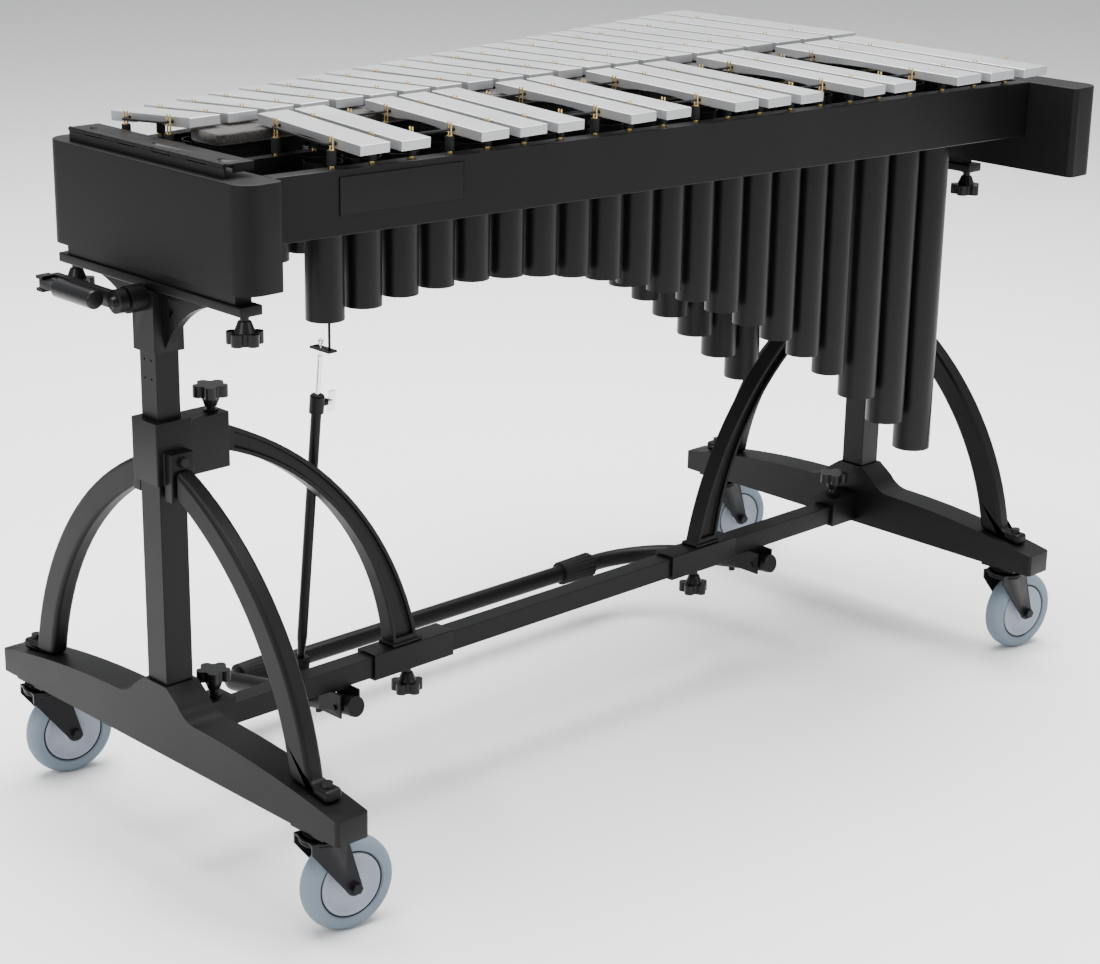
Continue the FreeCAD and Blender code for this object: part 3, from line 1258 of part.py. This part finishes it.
# ------------------------------------------------------------------ cranks
def make_crank(side_name, side):
    """A crank on each end: shaft with a bevel gear, a flat arm and a folding grip; and
    the lead screw inside the post that it drives."""
    x, z = dim.crank_arm_x, dim.crank_z
    post = dim.post_x
    gear_r = 8.5
    start = post + gear_r
    shaft = rod("crank_shaft_" + side_name, dim.shaft_radius, x - start, (start, 0, z), "x")
    gear = cone("crank_gear_" + side_name, gear_r - 4, gear_r, 4, (start - 4, 0, z - 0), "x")
    hub = rod("crank_hub_" + side_name, 15, 12, (x, 0, z), "x")
    tip_y = dim.crank_arm_length
    arm = block("crank_arm_" + side_name, (x + 1, 0, z - 10), (x + 11, tip_y, z + 10))
    tip = rod("crank_tip_" + side_name, 10, 10, (x + 1, tip_y, z), "x")
    cap = cone("crank_cap_" + side_name, 7, 5, 5, (x + 12, 0, z), "x")
    ears = [block("crank_ear_%s_%d" % (side_name, level), (x + 11, tip_y - 7, z + level * 8 - 2),
                  (x + 30, tip_y + 7, z + level * 8 + 2)) for level in (-1, 1)]
    pin = rod("crank_pin_" + side_name, 2.5, 20, (x + 23, tip_y, z - 10))
    crank = fuse("crank_solid_" + side_name, shaft, gear, hub, arm, tip, cap, *ears, pin)
    grip_y = tip_y - 32
    body = rod("grip_body_" + side_name, 12, 84, (x + 24, grip_y, z), "-y")
    round_end = round_edges("grip_soft_" + side_name, body, 4,
                            lambda e: e.Curve.TypeId == "Part::GeomCircle")
    link = block("grip_link_" + side_name, (x + 17, grip_y, z - 5.6), (x + 29, tip_y, z + 5.6))
    eye = rod("grip_eye_" + side_name, 6, 11.2, (x + 23, tip_y, z - 5.6))
    hole = rod("grip_hole_" + side_name, 2.56, 14, (x + 23, tip_y, z - 7))
    grip = cut("grip_solid_" + side_name, fuse("grip_parts_" + side_name, round_end, link, eye),
               hole)
    screw_low = dim.inner_post_bottom + 10
    screw_top = z - gear_r
    thread = rod("screw_thread_" + side_name, 6, screw_top - screw_low, (post, 0, screw_low))
    pinion = cone("screw_gear_" + side_name, gear_r, gear_r - 4, 4, (post, 0, screw_top - 0.4))
    screw = fuse("screw_solid_" + side_name, thread, pinion)
    for name, item in (("crank_", crank), ("crank_grip_", grip), ("lead_screw_", screw)):
        whole = mirror(name + side_name + "_placed", item) if side < 0 else item
        node(name + side_name, whole)


# ------------------------------------------------------------------ the whole
def build():
    feet = [make_foot(name + "_foot", side) for name, side in SIDES]
    make_outer_posts()
    make_collars()
    make_post_bushes()
    make_side_arches(feet)
    make_long_arches()
    make_beam()
    make_pedal_hangers()
    make_stand_bolts()
    make_caster_plates()
    for side_name, side in SIDES:
        for end_name, end in ENDS:
            make_caster(side_name + "_" + end_name, side, end)
    make_knobs()
    make_inner_posts()
    make_top_brackets()
    make_end_panels()
    make_rails()
    make_name_plate()
    make_hinge()
    make_bars()
    make_posts()
    cord_springs = make_cords()
    make_resonators()
    make_damper()
    make_springs(cord_springs)
    make_pull_rod()
    make_pedal()
    for side_name, side in SIDES:
        make_crank(side_name, side)


def check_and_write():
    doc.recompute()
    for item in doc.Objects:
        if "Invalid" in item.State or "Error" in item.State:
            raise RuntimeError("%s did not recompute: %s" % (item.Name, item.State))
    os.makedirs("parts", exist_ok=True)
    for item in NODES:
        shape = item.Shape
        if shape.isNull() or not shape.isValid():
            raise RuntimeError("%s has a bad shape" % item.Label)
        shape.exportStep("parts/%s.step" % item.Label)
        print("%-26s %3d solids %12.0f mm3" % (item.Label, len(shape.Solids), shape.Volume))
    print(len(NODES), "nodes")


build()
check_and_write()
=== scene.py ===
"""Vibraphone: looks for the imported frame. Metres, in the frame's own axes."""
import json
import math

import bmesh
import bpy
from mathutils import Matrix, Vector, noise


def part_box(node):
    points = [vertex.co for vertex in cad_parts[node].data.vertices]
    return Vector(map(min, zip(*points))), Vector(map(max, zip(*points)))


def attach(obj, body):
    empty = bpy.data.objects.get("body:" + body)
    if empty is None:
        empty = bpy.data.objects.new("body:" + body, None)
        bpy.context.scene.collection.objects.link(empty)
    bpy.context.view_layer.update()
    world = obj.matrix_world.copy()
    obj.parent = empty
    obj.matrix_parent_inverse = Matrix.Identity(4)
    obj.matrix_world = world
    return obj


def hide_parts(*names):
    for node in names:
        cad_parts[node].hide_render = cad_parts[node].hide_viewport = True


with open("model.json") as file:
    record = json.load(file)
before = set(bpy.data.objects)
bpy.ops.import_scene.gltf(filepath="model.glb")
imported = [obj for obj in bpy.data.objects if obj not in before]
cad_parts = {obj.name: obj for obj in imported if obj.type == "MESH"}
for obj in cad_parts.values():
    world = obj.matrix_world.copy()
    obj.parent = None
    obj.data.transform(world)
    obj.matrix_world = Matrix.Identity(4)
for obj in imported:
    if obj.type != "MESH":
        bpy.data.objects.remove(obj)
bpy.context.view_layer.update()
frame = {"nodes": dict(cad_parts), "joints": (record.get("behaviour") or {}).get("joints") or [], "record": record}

record = frame["record"]
BODY = {n: body for body, nodes in record["behaviour"]["bodies"].items() for n in nodes}
SLOT = {part["node"]: part["material_slot"] for part in record["subparts"]}
NODES = frame["nodes"]
MM = 0.001
WELD = 0.01 * MM
FLAT = math.radians(0.6)


# ------------------------------------------------------------------ materials
RELIEF_DEPTH = 0.3 * MM


def material(name, colour, metallic=0.0, roughness=0.5, grain=0.0, bump=0.0, stretch=(1, 1, 1),
             vary=0.0, coat=0.0, specular=0.16):
    """A principled surface with noise-driven roughness, tone and bump. grain is the scale
    of the bump's noise, stretch scales it along each axis, and vary is how far roughness
    and tone wander."""
    made = bpy.data.materials.new(name)
    made.use_nodes = True
    nodes, links = made.node_tree.nodes, made.node_tree.links
    shader = nodes["Principled BSDF"]
    shader.inputs["Base Color"].default_value = (*colour, 1)
    shader.inputs["Metallic"].default_value = metallic
    shader.inputs["Roughness"].default_value = roughness
    shader.inputs["Coat Weight"].default_value = coat
    shader.inputs["Coat Roughness"].default_value = 0.25
    shader.inputs["Specular IOR Level"].default_value = specular
    place = nodes.new("ShaderNodeTexCoord")
    scale = nodes.new("ShaderNodeMapping")
    scale.inputs["Scale"].default_value = stretch
    links.new(place.outputs["Object"], scale.inputs["Vector"])
    if vary:
        cloud = nodes.new("ShaderNodeTexNoise")
        cloud.inputs["Scale"].default_value = 9
        cloud.inputs["Detail"].default_value = 5
        links.new(place.outputs["Object"], cloud.inputs["Vector"])
        rough = nodes.new("ShaderNodeMapRange")
        rough.inputs["To Min"].default_value = roughness - vary
        rough.inputs["To Max"].default_value = roughness + vary
        links.new(cloud.outputs["Fac"], rough.inputs["Value"])
        links.new(rough.outputs["Result"], shader.inputs["Roughness"])
        tone = nodes.new("ShaderNodeMix")
        tone.data_type = "RGBA"
        tone.inputs[6].default_value = (*[c * (1 - vary) for c in colour], 1)
        tone.inputs[7].default_value = (*[min(c * (1 + vary), 1) for c in colour], 1)
        links.new(cloud.outputs["Fac"], tone.inputs[0])
        links.new(tone.outputs[2], shader.inputs["Base Color"])
    if grain:
        speck = nodes.new("ShaderNodeTexNoise")
        speck.inputs["Scale"].default_value = grain
        speck.inputs["Detail"].default_value = 4
        links.new(scale.outputs["Vector"], speck.inputs["Vector"])
        relief = nodes.new("ShaderNodeBump")
        relief.inputs["Strength"].default_value = bump
        relief.inputs["Distance"].default_value = RELIEF_DEPTH
        links.new(speck.outputs["Fac"], relief.inputs["Height"])
        links.new(relief.outputs["Normal"], shader.inputs["Normal"])
    return made


def speckled(name, dark, light, scale, bump):
    """Felt: short fibres of two tones over a rough, raised surface."""
    made = material(name, dark, roughness=0.95, grain=scale * 1.7, bump=bump, specular=0.2)
    nodes, links = made.node_tree.nodes, made.node_tree.links
    shader = nodes["Principled BSDF"]
    shader.inputs["Sheen Weight"].default_value = 0.25
    place = nodes["Texture Coordinate"]
    fleck = nodes.new("ShaderNodeTexNoise")
    fleck.inputs["Scale"].default_value = scale
    fleck.inputs["Detail"].default_value = 6
    fleck.inputs["Roughness"].default_value = 0.8
    links.new(place.outputs["Object"], fleck.inputs["Vector"])
    ramp = nodes.new("ShaderNodeValToRGB")
    ramp.color_ramp.elements[0].position = 0.46
    ramp.color_ramp.elements[0].color = (*dark, 1)
    ramp.color_ramp.elements[1].position = 0.64
    ramp.color_ramp.elements[1].color = (*light, 1)
    links.new(fleck.outputs["Fac"], ramp.inputs["Fac"])
    links.new(ramp.outputs["Color"], shader.inputs["Base Color"])
    return made


BLACK = (0.0035, 0.0035, 0.0038)
satin = material("satin_black", BLACK, roughness=0.42, grain=900, bump=0.08, vary=0.06)
smooth = material("panel_black", BLACK, roughness=0.5, grain=1500, bump=0.06, vary=0.05)
cast = material("cast_black", BLACK, roughness=0.46, grain=420, bump=0.35, vary=0.06)
textured = material("texture_black", BLACK, roughness=0.42, grain=650, bump=0.75, vary=0.06)
tube = material("tube_black", BLACK, roughness=0.38, vary=0.05, specular=0.2)
silver = material("bar_silver", (0.46, 0.465, 0.475), metallic=0.85, roughness=0.44, grain=340,
                  bump=0.12, stretch=(3.2, 0.12, 3.2), vary=0.05)
gold = material("pin_gold", (0.83, 0.60, 0.24), metallic=1, roughness=0.25, vary=0.05)
steel = material("spring_steel", (0.62, 0.62, 0.64), metallic=1, roughness=0.3, vary=0.06)
chrome = material("rod_chrome", (0.82, 0.82, 0.83), metallic=1, roughness=0.14, vary=0.03)
rubber = material("rubber_black", (0.011, 0.011, 0.011), roughness=0.72, grain=700, bump=0.2)
plastic = material("knob_black", (0.008, 0.008, 0.0085), roughness=0.3, grain=900, bump=0.12,
                   coat=0.1)
oxide = material("bolt_black", (0.014, 0.014, 0.015), metallic=0.6, roughness=0.38, vary=0.05)
tyre = material("tyre_blue_grey", (0.155, 0.195, 0.235), roughness=0.52, grain=500, bump=0.08,
                vary=0.05)
hub = material("hub_grey", (0.27, 0.29, 0.35), roughness=0.42, grain=500, bump=0.04, vary=0.04)
badge = material("badge_black", (0.002, 0.002, 0.0022), roughness=0.2, coat=0.1)
rim = material("badge_rim", (0.22, 0.22, 0.23), metallic=1, roughness=0.35)
cord = material("cord_black", (0.010, 0.010, 0.011), roughness=0.75, grain=1400, bump=0.8,
                stretch=(0.35, 1, 1))
felt = speckled("felt_speckled", (0.007, 0.006, 0.0055), (0.062, 0.050, 0.042), 420, 0.9)

LOOK = {
    "foot_casting": satin, "arch_casting": cast, "post_black": satin, "collar_black": satin,
    "bush_plastic": plastic, "beam_black": satin, "bolt_black": oxide, "caster_steel": oxide,
    "caster_tyre": tyre, "knob_plastic": plastic, "inner_post_black": satin,
    "bracket_black": satin, "panel_black": smooth, "rail_black": textured,
    "inner_rail_black": satin, "badge": badge, "hinge_black": satin, "bar_silver": silver,
    "pin_gold": gold, "sleeve_rubber": rubber, "cord_black": cord, "spring_steel": steel,
    "tube_black": tube, "strip_black": satin, "felt_dark": felt, "damper_steel": satin,
    "rod_black": satin, "rod_chrome": chrome, "pedal_black": satin,
    "coupling_rubber": rubber, "crank_steel": satin, "grip_plastic": plastic,
    "screw_steel": steel,
}


def paint(obj, look):
    obj.data.materials.clear()
    obj.data.materials.append(look)


for name, obj in NODES.items():
    for held in obj.material_slots:
        held.material = LOOK[SLOT[name]]


# ------------------------------------------------------------------ pieces
def add(name, mesh, body, look, replaced=()):
    """A new piece on a body, with its finish."""
    obj = bpy.data.objects.new(name, mesh)
    bpy.context.scene.collection.objects.link(obj)
    paint(obj, look)
    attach(obj, body)
    if replaced:
        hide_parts(*replaced)
    return obj


def softened(node, width, segments=3, angle=32, shortest=2.2):
    """A node's own shape with its hard edges rounded. Edges shorter than shortest, such as
    the facets of a drilled hole's rim, stay sharp."""
    source = NODES[node]
    shape = bmesh.new()
    shape.from_mesh(source.data)
    bmesh.ops.remove_doubles(shape, verts=shape.verts, dist=WELD)
    bmesh.ops.dissolve_limit(shape, angle_limit=FLAT, verts=shape.verts,
                             edges=shape.edges, delimit={"NORMAL"})
    weight = shape.edges.layers.float.new("bevel_weight_edge")
    for edge in shape.edges:
        hard = len(edge.link_faces) == 2 and edge.calc_face_angle(0) > math.radians(angle)
        if hard and edge.calc_length() > shortest * MM:
            edge[weight] = 1
    mesh = bpy.data.meshes.new(node + "_soft")
    shape.to_mesh(mesh)
    shape.free()
    mesh.shade_smooth()
    mesh.set_sharp_from_angle(angle=math.radians(angle))
    obj = add(node + "_soft", mesh, BODY[node], LOOK[SLOT[node]], [node])
    bevel = obj.modifiers.new("edges", "BEVEL")
    bevel.width = width * MM
    bevel.segments = segments
    bevel.limit_method = "WEIGHT"
    bevel.harden_normals = True
    bevel.use_clamp_overlap = True
    return obj


EDGE_WIDTHS = {
    "left_foot": 3.0, "right_foot": 3.0, "outer_posts": 2.2, "post_collars": 2.2,
    "side_arches": 6.5, "long_arches": 2.0, "cross_beam": 2.2, "beam_sleeves": 1.2,
    "pedal_hangers": 0.8, "inner_posts": 2.0, "top_brackets": 1.4, "end_panels": 1.5,
    "bed_rails": 1.4, "natural_bars": 1.3, "accidental_bars": 1.3,
    "cover_flap": 0.7, "stand_bolts": 0.7,
}
for node, width in EDGE_WIDTHS.items():
    softened(node, width)
for node in NODES:
    if "knob" in node:
        softened(node, 2.2, 4, 40, 0)
    elif node.startswith(("crank_", "caster_fork_")):
        softened(node, 0.9, 2, 40, 1.5)


# ------------------------------------------------------------------ wheels
def lathe(name, profile, centre, axis, segments=96):
    """A closed ring of revolution: profile points are (radius, along the axis)."""
    axis = Vector(axis).normalized()
    side = axis.orthogonal().normalized()
    other = axis.cross(side)
    shape = bmesh.new()
    rings = []
    for i in range(segments):
        turn = 2 * math.pi * i / segments
        out = side * math.cos(turn) + other * math.sin(turn)
        rings.append([shape.verts.new(centre + out * r + axis * a) for r, a in profile])
    count = len(profile)
    for i, ring in enumerate(rings):
        following = rings[(i + 1) % segments]
        for j in range(count):
            k = (j + 1) % count
            shape.faces.new((ring[j], following[j], following[k], ring[k]))
    bmesh.ops.recalc_face_normals(shape, faces=shape.faces)
    mesh = bpy.data.meshes.new(name)
    shape.to_mesh(mesh)
    shape.free()
    mesh.shade_smooth()
    mesh.set_sharp_from_angle(angle=math.radians(38))
    return mesh


def both_faces(half):
    """Mirrors a profile's one side to the other, outside first."""
    return half + [(r, -a) for r, a in reversed(half)]


TYRE = both_faces([(43.6 * MM, 12.2 * MM), (45.2 * MM, 14.6 * MM), (52 * MM, 15.3 * MM),
                   (56.5 * MM, 14.2 * MM), (59.8 * MM, 11.2 * MM), (61.8 * MM, 6.6 * MM),
                   (62.5 * MM, 0.8 * MM)])
HUB = both_faces([(4.4 * MM, 19 * MM), (13 * MM, 19 * MM), (14.2 * MM, 17.8 * MM),
                  (15.4 * MM, 12.2 * MM), (18 * MM, 11.4 * MM), (34 * MM, 11.4 * MM),
                  (36 * MM, 12.8 * MM), (40.6 * MM, 13.6 * MM), (41.9 * MM, 12.2 * MM)])
SEAM = both_faces([(41.6 * MM, 12.4 * MM), (43.9 * MM, 12.4 * MM)])
RACEWAY = [(9 * MM, 0), (25 * MM, 0), (28 * MM, 1.6 * MM), (28 * MM, 3.2 * MM),
           (25 * MM, 4 * MM), (28.6 * MM, 5 * MM), (28.6 * MM, 7.2 * MM), (26 * MM, 8 * MM),
           (9 * MM, 8 * MM)]
for joint in frame["joints"]:
    if joint["name"].startswith("spin_"):
        tag = joint["name"][len("spin_"):]
        centre, axis = Vector(joint["pos_m"]), joint["axis"]
        add("tyre_" + tag, lathe("tyre_" + tag, TYRE, centre, axis), "wheel_" + tag,
            tyre, ["caster_wheel_" + tag])
        add("hub_" + tag, lathe("hub_" + tag, HUB, centre, axis), "wheel_" + tag,
            hub)
        add("seam_" + tag, lathe("seam_" + tag, SEAM, centre, axis), "wheel_" + tag,
            rubber)
    elif joint["name"].startswith("swivel_"):
        tag = joint["name"][len("swivel_"):]
        floor_of_race = Vector((*joint["pos_m"][:2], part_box("caster_plates")[0][2] - 8.3 * MM))
        add("raceway_" + tag, lathe("raceway_" + tag, RACEWAY, floor_of_race, (0, 0, 1)),
            "caster_" + tag, oxide)


# ------------------------------------------------------------------ springs
def islands(obj):
    """Separate solids of a node, each as a list of points."""
    shape = bmesh.new()
    shape.from_mesh(obj.data)
    bmesh.ops.remove_doubles(shape, verts=shape.verts, dist=WELD)
    seen, groups = set(), []
    for start in shape.verts:
        if start in seen:
            continue
        seen.add(start)
        stack, group = [start], []
        while stack:
            vert = stack.pop()
            group.append(vert.co.copy())
            for edge in vert.link_edges:
                near = edge.other_vert(vert)
                if near not in seen:
                    seen.add(near)
                    stack.append(near)
        groups.append(group)
    shape.free()
    return groups


def spine(points, across=None):
    """Both ends of a round bar's axis and its radius."""
    middle = sum(points, Vector()) / len(points)
    if across is None:
        far = max(points, key=lambda p: (p - middle).length)
        other = max(points, key=lambda p: (p - far).length)
        across = (far - other).normalized()
    ahead = [p for p in points if (p - middle).dot(across) > 0]
    behind = [p for p in points if (p - middle).dot(across) <= 0]
    first, last = sum(behind, Vector()) / len(behind), sum(ahead, Vector()) / len(ahead)
    unit = (last - first).normalized()
    radius = max(((p - first) - unit * (p - first).dot(unit)).length for p in points)
    return first, last, radius


def wire(name, points, radius, body, look, replaced=()):
    """A round wire through points."""
    curve = bpy.data.curves.new(name, "CURVE")
    curve.dimensions = "3D"
    curve.bevel_depth = radius
    curve.bevel_resolution = 3
    curve.use_fill_caps = True
    run = curve.splines.new("POLY")
    run.points.add(len(points) - 1)
    for point, co in zip(run.points, points):
        point.co = (*co, 1)
    return add(name, curve, body, look, replaced)


def coil(first, last, radius, turns, steps=16):
    unit = (last - first).normalized()
    side = unit.orthogonal().normalized()
    other = unit.cross(side)
    points = []
    for i in range(turns * steps + 1):
        angle = 2 * math.pi * i / steps
        along = first.lerp(last, i / (turns * steps))
        points.append(along + (side * math.cos(angle) + other * math.sin(angle)) * radius)
    return points


FINE_WIRE = 0.55 * MM
for i, points in enumerate(islands(NODES["springs"])):
    low = Vector([min(p[k] for p in points) for k in range(3)])
    high = Vector([max(p[k] for p in points) for k in range(3)])
    upright = abs((high - low).x - (high - low).y) < 0.3 * MM
    first, last, radius = spine(points, Vector((0, 0, 1)) if upright else None)
    if upright:
        first, last = Vector((*first.xy, low.z + 1 * MM)), Vector((*first.xy, high.z - 1 * MM))
        radius = (high - low).x / 2
        path, thick = coil(first, last, radius - 0.9 * MM, 8), 0.8 * MM
    elif radius > 2 * MM:
        path = coil(first, last, radius - FINE_WIRE, int((last - first).length / (1.7 * MM)), 12)
        thick = FINE_WIRE
    else:
        path, thick = [first, last], 0.7 * MM
    wire("spring_%d" % i, path, thick, "bed", steel,
         ["springs"] if i == 0 else ())


# ------------------------------------------------------------------ damper felt
def felt_pad():
    """The felt strip: a long pad with crowned edges and a rough, slightly uneven face."""
    points = [v.co for v in NODES["damper_felt"].data.vertices]
    ends = []
    for pick in (min, max):
        edge = pick(p.x for p in points)
        near = [p for p in points if abs(p.x - edge) < 12 * MM]
        ends.append(sum(near, Vector()) / len(near))
    start, end = ends
    along = (end - start).normalized()
    across = Vector((0, 0, 1)).cross(along).normalized()
    up = along.cross(across)
    half_w = max(abs((p - start).dot(across)) for p in points)
    half_h = max(abs((p - start).dot(up)) for p in points)
    reach = [(p - start).dot(along) for p in points]
    low, high = min(reach), max(reach)
    columns, rings = 420, 40
    shape = bmesh.new()
    rows = []
    for i in range(columns + 1):
        share = i / columns
        pinch = 1 - 0.10 * math.exp(-min(share, 1 - share) * columns / 2)
        base = start + along * (low + (high - low) * share)
        row = []
        for j in range(rings):
            turn = 2 * math.pi * j / rings
            c, s = math.cos(turn), math.sin(turn)
            w = math.copysign(abs(c) ** 0.28, c) * (half_w - 1.2 * MM) * pinch
            h = math.copysign(abs(s) ** 0.28, s) * (half_h - 0.9 * MM) * pinch
            spot = base + across * w + up * h
            rough = noise.noise(spot * 160) * 0.55 + noise.noise(spot * 30) * 0.45
            row.append(shape.verts.new(spot + (across * c + up * s) * rough * 0.7 * MM))
        rows.append(row)
    for row, following in zip(rows, rows[1:]):
        for j in range(rings):
            k = (j + 1) % rings
            shape.faces.new((row[j], following[j], following[k], row[k]))
    shape.faces.new(rows[0][::-1])
    shape.faces.new(rows[-1])
    bmesh.ops.recalc_face_normals(shape, faces=shape.faces)
    mesh = bpy.data.meshes.new("felt_strip")
    shape.to_mesh(mesh)
    shape.free()
    mesh.shade_smooth()
    pad = add("felt_strip", mesh, "damper", felt, ["damper_felt"])


felt_pad()


# ------------------------------------------------------------------ badge
def blank_badge():
    """A plain gloss plate with a thin bright rim and nothing on it."""
    shape = bmesh.new()
    shape.from_mesh(NODES["name_plate"].data)
    bmesh.ops.remove_doubles(shape, verts=shape.verts, dist=WELD)
    bmesh.ops.dissolve_limit(shape, angle_limit=FLAT, verts=shape.verts,
                             edges=shape.edges)
    front = max((f for f in shape.faces if f.normal.y < -0.9), key=lambda f: f.calc_area())
    bmesh.ops.inset_region(shape, faces=[front], thickness=1.3 * MM)
    bmesh.ops.inset_region(shape, faces=[front], thickness=0.3 * MM, depth=-0.5 * MM)
    for face in shape.faces:
        face.material_index = 0 if face == front else 1
    mesh = bpy.data.meshes.new("blank_badge")
    shape.to_mesh(mesh)
    shape.free()
    plate = add("blank_badge", mesh, "bed", badge, ["name_plate"])
    plate.data.materials.append(rim)


blank_badge()


# ------------------------------------------------------------------ floor, light, camera
floor_mesh = bpy.data.meshes.new("floor")
SPAN = 9
floor_mesh.from_pydata([(-SPAN, -SPAN, 0), (SPAN, -SPAN, 0), (SPAN, SPAN, 0), (-SPAN, SPAN, 0)],
                       [], [(0, 1, 2, 3)])
floor = bpy.data.objects.new("floor", floor_mesh)
bpy.context.scene.collection.objects.link(floor)
paint(floor, material("floor_pale", (0.92, 0.92, 0.92), roughness=0.8))

world = bpy.data.worlds.new("studio")
world.use_nodes = True
world.node_tree.nodes["Background"].inputs["Color"].default_value = (0.93, 0.94, 0.96, 1)
world.node_tree.nodes["Background"].inputs["Strength"].default_value = 0.62
bpy.context.scene.world = world


def softbox(name, place, target, width, height, power):
    light = bpy.data.lights.new(name, "AREA")
    light.shape = "RECTANGLE"
    light.size, light.size_y = width, height
    light.energy = power
    lamp = bpy.data.objects.new(name, light)
    lamp.location = place
    lamp.rotation_euler = (Vector(target) - Vector(place)).to_track_quat("-Z", "Y").to_euler()
    bpy.context.scene.collection.objects.link(lamp)


softbox("overhead", (0.3, 0.4, 4.2), (0.1, 0.1, 0.3), 4.6, 4.0, 720)
softbox("left_front", (-3.4, -0.6, 2.0), (-0.2, 0, 0.6), 1.6, 1.8, 48)
softbox("right_front", (1.4, -3.6, 2.2), (0.2, 0, 0.5), 2.0, 1.6, 40)

CAMERA_PLACE = Vector((-2.345, -2.3955, 1.4645))
YAW, PITCH, ROLL, LENS, SENSOR = 0.770, -0.319, 0.017, 79.1, 36.0
forward = Vector((math.sin(YAW) * math.cos(PITCH), math.cos(YAW) * math.cos(PITCH),
                  math.sin(PITCH)))
level = Vector((math.cos(YAW), -math.sin(YAW), 0))
upward = level.cross(forward)
right = level * math.cos(ROLL) + upward * math.sin(ROLL)
top = upward * math.cos(ROLL) - level * math.sin(ROLL)
turn = Matrix((right, top, -forward)).transposed().to_4x4()
lens = bpy.data.cameras.new("camera")
lens.lens, lens.sensor_width = LENS, SENSOR
lens.clip_end = 60
camera = bpy.data.objects.new("camera", lens)
camera.matrix_world = Matrix.Translation(CAMERA_PLACE) @ turn
bpy.context.scene.collection.objects.link(camera)
bpy.context.scene.camera = camera
